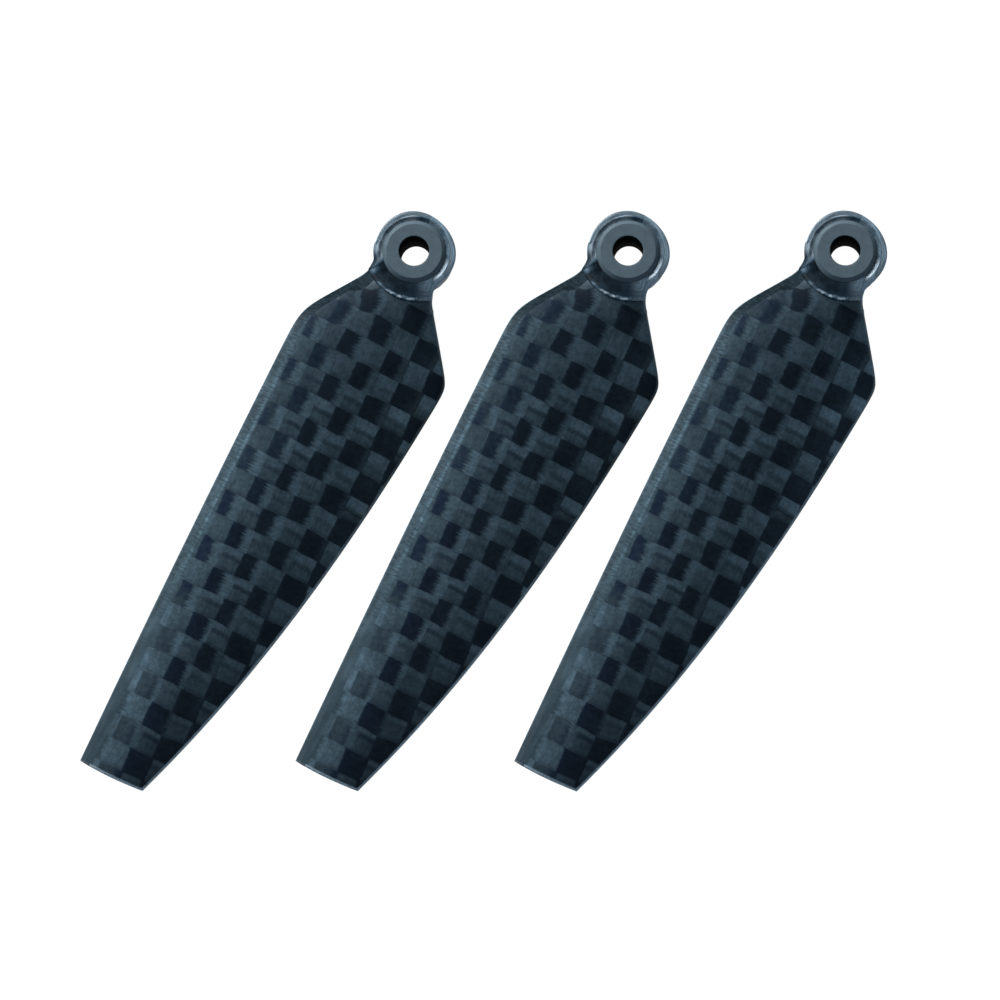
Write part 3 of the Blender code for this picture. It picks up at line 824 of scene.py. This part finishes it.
def weave_material(name, painted_shade_factor):
    """Clear-coated plain weave of flat carbon tows. Its last argument darkens it as painted shade, below 1
    for the lower cloth.
    """
    look = Shader(name)
    column, row, fade = look.parts(look.attribute("weave"))
    lead, distance, edge = look.parts(look.attribute("rim"))
    column = wandering(look, column, column, row, 5.0)
    row = wandering(look, row, column, row, 9.0)
    nearest = look.math("ROUND", column)
    row_index = look.math("FLOOR", row)
    across = look.minus(column, nearest)
    odd = look.math("PINGPONG", look.plus(nearest, row_index), 1.0)
    wobble = look.noise(look.vector(look.times(nearest, 7.3), look.times(row, 9.0)), 1.0, 2.0)
    width = look.plus(look.size(across), look.linear(wobble, 0.08, -0.04))
    inside = look.ramp(width, TOW_HALF_WIDTH + 0.03, TOW_HALF_WIDTH - 0.03)
    spanwise = look.times(inside, look.minus(1.0, odd))

    cross_value, fibres = cross_tows(look, nearest, across, row, row_index, odd)
    span_value, lines = span_tows(look, column, nearest, row, row_index, fade)
    value = look.blend(spanwise, cross_value, span_value)
    cloud = look.noise(look.vector(column, row), 0.9, 2.0)
    mottle = look.noise(look.position(), 2.2, 3.0, 0.6)
    value = look.times(value, look.spread(cloud, 0.86, 1.14))
    value = look.times(value, look.spread(mottle, 0.80, 1.20))
    value = look.times(value, painted_shade_factor)

    ripple = look.noise(look.position(), 0.5, 2.0)
    fibre_height = look.times(look.blend(spanwise, fibres, lines), 0.0035)
    return look.finish(
        Base__Color=cloth_colour(look, value, column, lead, distance, edge),
        Roughness=look.blend(spanwise, 0.32, look.ramp(lines, 0.2, 0.8, 0.36, 0.44)),
        Normal=look.bump(look.plus(fibre_height, look.times(ripple, 0.02)), MM),
        Specular__IOR__Level=0.10,
        Coat__Weight=look.ramp(distance, 6.0, 14.0, 0.08, 0.26),
        Coat__Roughness=look.spread(ripple, 0.20, 0.28),
    )


def nose_material():
    """The leading-edge tow, with a painted highlight along its cut at the tip."""
    look = Shader("edge_tow")
    lead, distance, to_tip = look.parts(look.attribute("rim"))
    fine = look.noise(look.vector(look.times(lead, 2.0), look.times(distance, 6.0)), 1.0, 3.0, 0.6)
    tip_highlight = look.tinted(look.spread(fine, 0.10, 0.14), EDGE_TINT)
    return look.finish(
        Base__Color=look.colour(look.ramp(to_tip, 0.24, 0.04), nose_band_highlight(look, lead, distance), tip_highlight),
        Roughness=look.spread(fine, 0.46, 0.56),
        Normal=look.bump(fine, 0.02 * MM),
        Specular__IOR__Level=look.ramp(distance, 9.0, 15.0, 0.0, 0.04),
        Coat__Weight=look.ramp(distance, 9.0, 15.0, 0.0, 0.05),
        Coat__Roughness=0.25,
    )


def filler_groove_light(look, angle, cloud):
    """The groove round the bush, with painted light: pale on the leading side and dark on the trailing one.
    """
    leading = look.times(look.ramp(angle, -44.0, -62.0), look.ramp(angle, -168.0, -150.0))
    far = look.times(look.ramp(look.size(angle), 70.0, 96.0), look.minus(1.0, leading))
    pale = look.times(leading, look.spread(cloud, 0.11, 0.24))
    return look.plus(pale, look.times(far, look.spread(cloud, 0.035, 0.065)))


def filler_side_highlights(look, angle, inward, streaks):
    """Painted highlights: the pale, streaked flank on the trailing side and the fainter rim on the leading
    one.
    """
    flank = look.times(look.ramp(angle, 26.0, 52.0), look.ramp(angle, 108.0, 84.0))
    flank = look.times(flank, look.spread(streaks, 0.20, 0.46))
    rim = look.times(look.ramp(angle, -34.0, -48.0), look.ramp(angle, -100.0, -80.0))
    rim = look.times(rim, look.times(look.ramp(inward, 1.3, 0.5), look.ramp(inward, 0.05, 0.45, 0.2, 1.0)))
    return look.plus(flank, look.times(rim, look.spread(streaks, 0.06, 0.15)))


def filler_lip_glint(look, angle, inward, position):
    """A painted glint: the pale, broken lip where the shelf ends on the cloth."""
    sway = look.noise(look.vector(look.times(angle, 0.12), 0.0), 1.0, 3.0)
    ragged = look.minus(inward, look.linear(sway, 0.34, 0.06))
    lip = look.ramp(look.size(ragged), 0.22, 0.03)
    lip = look.times(lip, look.times(look.ramp(angle, -30.0, -8.0), look.ramp(angle, 46.0, 32.0)))
    return look.times(lip, look.ramp(look.noise(position, 1.5, 4.0, 0.6), 0.40, 0.68, 0.05, 0.55))


def root_material():
    """Dark moulded filler, with painted shade on its leading side, painted light on its trailing side, and
    painted highlights and a painted glint. Angles are in degrees from the span, positive on the trailing
    side.
    """
    look = Shader("moulded_root")
    inward, angle, _ = look.parts(look.attribute("root"))
    position = look.position()
    cloud = look.noise(position, 0.9, 3.0)
    fine = look.noise(position, 6.0, 3.0)
    streaks = look.noise(look.vector(look.times(inward, 5.0), look.times(angle, 0.06)), 1.0, 3.0)

    # Painted shade on the leading side, painted light on the trailing one.
    shade = look.times(look.ramp(angle, -32.0, -2.0, 0.5, 1.0), look.ramp(angle, 2.0, 34.0, 1.0, 2.6))
    value = look.times(look.spread(cloud, 0.013, 0.030), look.spread(fine, 0.8, 1.2))
    value = look.plus(look.times(value, shade), filler_groove_light(look, angle, cloud))
    sides = filler_side_highlights(look, angle, inward, streaks)
    value = look.plus(value, look.plus(sides, filler_lip_glint(look, angle, inward, position)))
    tint = look.colour(look.ramp(value, 0.02, 0.2), opaque(ROOT_TINT), opaque(EDGE_TINT))
    return look.finish(
        Base__Color=look.tinted(value, tint),
        Roughness=look.spread(fine, 0.42, 0.52),
        Normal=look.bump(look.plus(cloud, look.times(fine, 0.2)), 0.12 * MM),
        Specular__IOR__Level=look.ramp(angle, -38.0, -14.0, 0.02, 0.15),
        Coat__Weight=look.ramp(angle, -38.0, -14.0, 0.0, 0.14),
        Coat__Roughness=0.2,
    )


def bead_material():
    """The tow loop under a clear coat, with darker streaks along it. Its pale tone is partly painted
    reflection, with painted shade on its inner side, its underside and all but the back of its trailing
    side, a painted highlight along its outer rim and a painted glint on the leading side.
    """
    look = Shader("tow_loop")
    out, angle, height = look.parts(look.attribute("bead"))
    down = look.linear(height, 1.3, 2.0)
    streaks = look.noise(look.vector(look.times(out, 2.6), look.times(angle, 0.03), down), 1.0, 3.0, 0.6)
    fine = look.noise(look.position(), 8.0, 3.0)
    value = look.ramp(streaks, 0.32, 0.68, 0.11, 0.26)
    # Painted shade on the inner side, towards the groove.
    value = look.times(value, look.ramp(out, -1.0, -0.3, 0.55, 1.0))
    # A painted highlight along the outer rim.
    value = look.plus(value, look.ramp(out, 0.6, 0.95, 0.0, 0.08))
    value = look.times(value, look.spread(fine, 0.88, 1.12))
    # Painted shade on the underside.
    value = look.times(value, look.ramp(height, -1.0, 1.2, 0.4, 1.0))
    # Painted shade everywhere but on the back of the trailing side.
    value = look.times(value, look.ramp(angle, 112.0, 70.0, 1.0, 0.74))
    # A painted glint on the leading side.
    off_glint = look.size(look.plus(angle, 72.0))
    value = look.times(value, look.ramp(off_glint, 26.0, 8.0, 1.0, 1.45))
    return look.finish(
        Base__Color=look.tinted(value, BEAD_TINT),
        Roughness=look.spread(fine, 0.38, 0.50),
        Normal=look.bump(look.plus(streaks, look.times(fine, 0.3)), 0.05 * MM),
        Specular__IOR__Level=0.3,
        Coat__Weight=0.25,
        Coat__Roughness=0.25,
    )


def bush_material():
    """Matte grey sleeve: fine grain, with a bore painted very dark as painted shade."""
    look = Shader("bush_grey")
    position = look.position()
    x, y, _ = look.parts(position)
    radius = look.math("SQRT", look.plus(look.times(x, x), look.times(y, y)))
    grain = look.noise(position, 7.0, 4.0, 0.65)
    cloud = look.noise(position, 0.8, 2.0)
    rings = look.noise(look.vector(look.times(radius, 9.0), 0.0), 1.0, 2.0)
    face = look.ramp(radius, BORE_RADIUS + 0.005, BORE_RADIUS + 0.06)
    value = look.times(look.ramp(grain, 0.25, 0.75, 0.088, 0.108), look.spread(cloud, 0.93, 1.07))
    # Painted shade: the bore's wall darkened to near black.
    value = look.times(value, look.ramp(face, 0.0, 1.0, 0.06, 1.0))
    return look.finish(
        Base__Color=look.tinted(value, BUSH_TINT),
        Roughness=look.blend(face, 0.9, 0.5),
        Metallic=0.0,
        Specular__IOR__Level=look.blend(face, 0.03, 0.14),
        Normal=look.bump(look.plus(grain, look.times(rings, 0.4)), 0.015 * MM),
    )


def core_material():
    """Closed-cell foam of the blade's core, hidden inside the skins."""
    look = Shader("core_foam")
    cells = look.noise(look.position(), 6.0, 3.0)
    return look.finish(
        Base__Color=look.tinted(look.ramp(cells, 0.35, 0.65, 0.42, 0.62), FOAM_TINT),
        Roughness=0.85,
        Normal=look.bump(cells, 0.1 * MM),
    )


def place(name, mesh, material, blade, body, node):
    """One visible piece: a copy of a mesh on its blade's axis, standing for a CAD node."""
    own = mesh.copy()
    own.name = name
    own.materials.append(material)
    piece = bpy.data.objects.new(name, own)
    bpy.context.scene.collection.objects.link(piece)
    low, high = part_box(f"{blade}_pivot_bush")
    piece.matrix_world = Matrix.Translation((low + high) / 2.0)
    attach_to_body(piece, body)
    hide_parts(node)


def build_blades():
    """Six fine pieces, made once and placed on each blade, and the material of the hidden cores."""
    upper = weave_material("woven_carbon", 1.0)
    under = weave_material("woven_carbon_under", UNDER_PAINTED_SHADE)
    looks = (
        ("upper_skin", "upper_cloth", skin_mesh("upper_cloth", 1), upper, "woven_carbon"),
        ("lower_skin", "lower_cloth", skin_mesh("lower_cloth", -1), under, "woven_carbon_under"),
        ("leading_edge_tow", "nose_tow", nose_mesh("nose_tow"), nose_material(), "edge_tow"),
        ("spar_strap", "eyelet_bead", bead_mesh("eyelet_bead"), bead_material(), "tow_loop"),
        ("root_boss", "root_filler", boss_mesh("root_filler"), root_material(), "moulded_root"),
        ("pivot_bush", "bush", bush_mesh("bush"), bush_material(), "bush_grey"),
    )
    foam = core_material()
    for blade in BLADES:
        for node, piece, mesh, material, slot_name in looks:
            body = blade if node != "pivot_bush" else blade.replace("blade", "bush")
            place(f"{blade}_{piece}", mesh, material, blade, body, f"{blade}_{node}")
        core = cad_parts[f"{blade}_core"]
        core.data.materials.clear()
        core.data.materials.append(foam)


# Studio, in metres.
FLOOR_SIZE = 4.0
FLOOR_TONE = (0.08, 0.08, 0.08, 1.0)
FLOOR_DEPTH = 0.00005  # how far the floor lies below the set
FLOOR_GLOW = 0.38  # what the floor lights the set with; the camera sees it at 1
TENT_LOW = math.radians(26.0)  # elevation where the tent's bright walls start to darken
TENT_HIGH = math.radians(42.0)  # elevation where its dark roof starts
TENT_WALL = 0.62
TENT_ROOF = 0.02
TENT_COLOUR = (0.76, 0.97, 1.18, 1.0)
KEY_AZIMUTH = math.radians(213.0)
KEY_ELEVATION = math.radians(26.0)
KEY_DISTANCE = 0.9
KEY_SIZE = 0.4
KEY_POWER = 15.8
WHITE = (1.0, 1.0, 1.0, 1.0)
CAMERA_ELEVATION = math.radians(79.4)
CAMERA_AZIMUTH = math.radians(11.0)
PICTURE_WIDTH = 0.09972  # metres across the picture at the object
LENS = 300.0
AIM_RIGHT = 0.00148  # metres from the CAD box's centre to the point in the middle of the picture
AIM_UP = 0.00019


def build_floor():
    """A plain pale floor, bright enough to read as white paper on a light table."""
    reach = FLOOR_SIZE / 2.0
    corners = [(-reach, -reach, 0.0), (reach, -reach, 0.0), (reach, reach, 0.0), (-reach, reach, 0.0)]
    mesh = bpy.data.meshes.new("floor")
    mesh.from_pydata(corners, [], [(0, 1, 2, 3)])
    floor = bpy.data.objects.new("floor", mesh)
    bpy.context.scene.collection.objects.link(floor)
    floor.location.z = -FLOOR_DEPTH
    look = Shader("floor_paper")
    seen = look.nodes.new("ShaderNodeLightPath").outputs["Is Camera Ray"]
    mesh.materials.append(
        look.finish(
            Base__Color=FLOOR_TONE,
            Roughness=0.9,
            Specular__IOR__Level=0.0,
            Emission__Color=WHITE,
            Emission__Strength=look.blend(seen, FLOOR_GLOW, 1.0),
        )
    )


def build_world():
    """A light tent with bright walls and a dark roof, and plain white where the camera sees it."""
    world = bpy.data.worlds.new("studio")
    bpy.context.scene.world = world
    world.use_nodes = True
    nodes, links = world.node_tree.nodes, world.node_tree.links
    coordinates = nodes.new("ShaderNodeTexCoord")
    parts = nodes.new("ShaderNodeSeparateXYZ")
    links.new(coordinates.outputs["Generated"], parts.inputs[0])
    ramp = nodes.new("ShaderNodeMapRange")
    ramp.interpolation_type = "SMOOTHSTEP"
    links.new(parts.outputs["Z"], ramp.inputs["Value"])
    ramp.inputs["From Min"].default_value = math.sin(TENT_LOW)
    ramp.inputs["From Max"].default_value = math.sin(TENT_HIGH)
    ramp.inputs["To Min"].default_value = TENT_WALL
    ramp.inputs["To Max"].default_value = TENT_ROOF
    tent = nodes["Background"]
    links.new(ramp.outputs[0], tent.inputs["Strength"])
    tent.inputs["Color"].default_value = TENT_COLOUR
    paper = nodes.new("ShaderNodeBackground")
    paper.inputs["Color"].default_value = WHITE
    seen = nodes.new("ShaderNodeMixShader")
    links.new(nodes.new("ShaderNodeLightPath").outputs["Is Camera Ray"], seen.inputs[0])
    links.new(tent.outputs[0], seen.inputs[1])
    links.new(paper.outputs[0], seen.inputs[2])
    links.new(seen.outputs[0], nodes["World Output"].inputs["Surface"])


def towards(azimuth, elevation):
    """The direction from the set to a camera or light; azimuth 0 stands in front, at -y."""
    flat = math.cos(elevation)
    return Vector((math.sin(azimuth) * flat, -math.cos(azimuth) * flat, math.sin(elevation)))


def build_key():
    """A square softbox behind the set."""
    data = bpy.data.lights.new("key", "AREA")
    data.shape = "RECTANGLE"
    data.size = KEY_SIZE
    data.size_y = KEY_SIZE
    data.energy = KEY_POWER
    light = bpy.data.objects.new("key", data)
    bpy.context.scene.collection.objects.link(light)
    away = towards(KEY_AZIMUTH, KEY_ELEVATION)
    light.location = away * KEY_DISTANCE
    light.rotation_mode = "QUATERNION"
    light.rotation_quaternion = (-away).to_track_quat("-Z", "Y")


def build_camera():
    """A long lens that looks down on the set, turned so that the row of bores is level."""
    back = towards(CAMERA_AZIMUTH, CAMERA_ELEVATION)
    right = (Vector((1.0, 0.0, 0.0)) - back * back.x).normalized()
    up = back.cross(right)
    data = bpy.data.cameras.new("camera")
    data.lens = LENS
    camera = bpy.data.objects.new("camera", data)
    bpy.context.scene.collection.objects.link(camera)
    low, high = CAD_BOX
    aim = (low + high) / 2.0 + AIM_RIGHT * right + AIM_UP * up
    distance = PICTURE_WIDTH * LENS / data.sensor_width
    turn = Matrix((right, up, back)).transposed().to_4x4()
    camera.matrix_world = Matrix.Translation(aim + back * distance) @ turn
    data.clip_start = 0.01
    data.clip_end = 10.0
    bpy.context.scene.camera = camera


def build_studio():
    build_floor()
    build_world()
    build_key()
    build_camera()
    bpy.context.scene.view_settings.view_transform = "Standard"


build_blades()
build_studio()
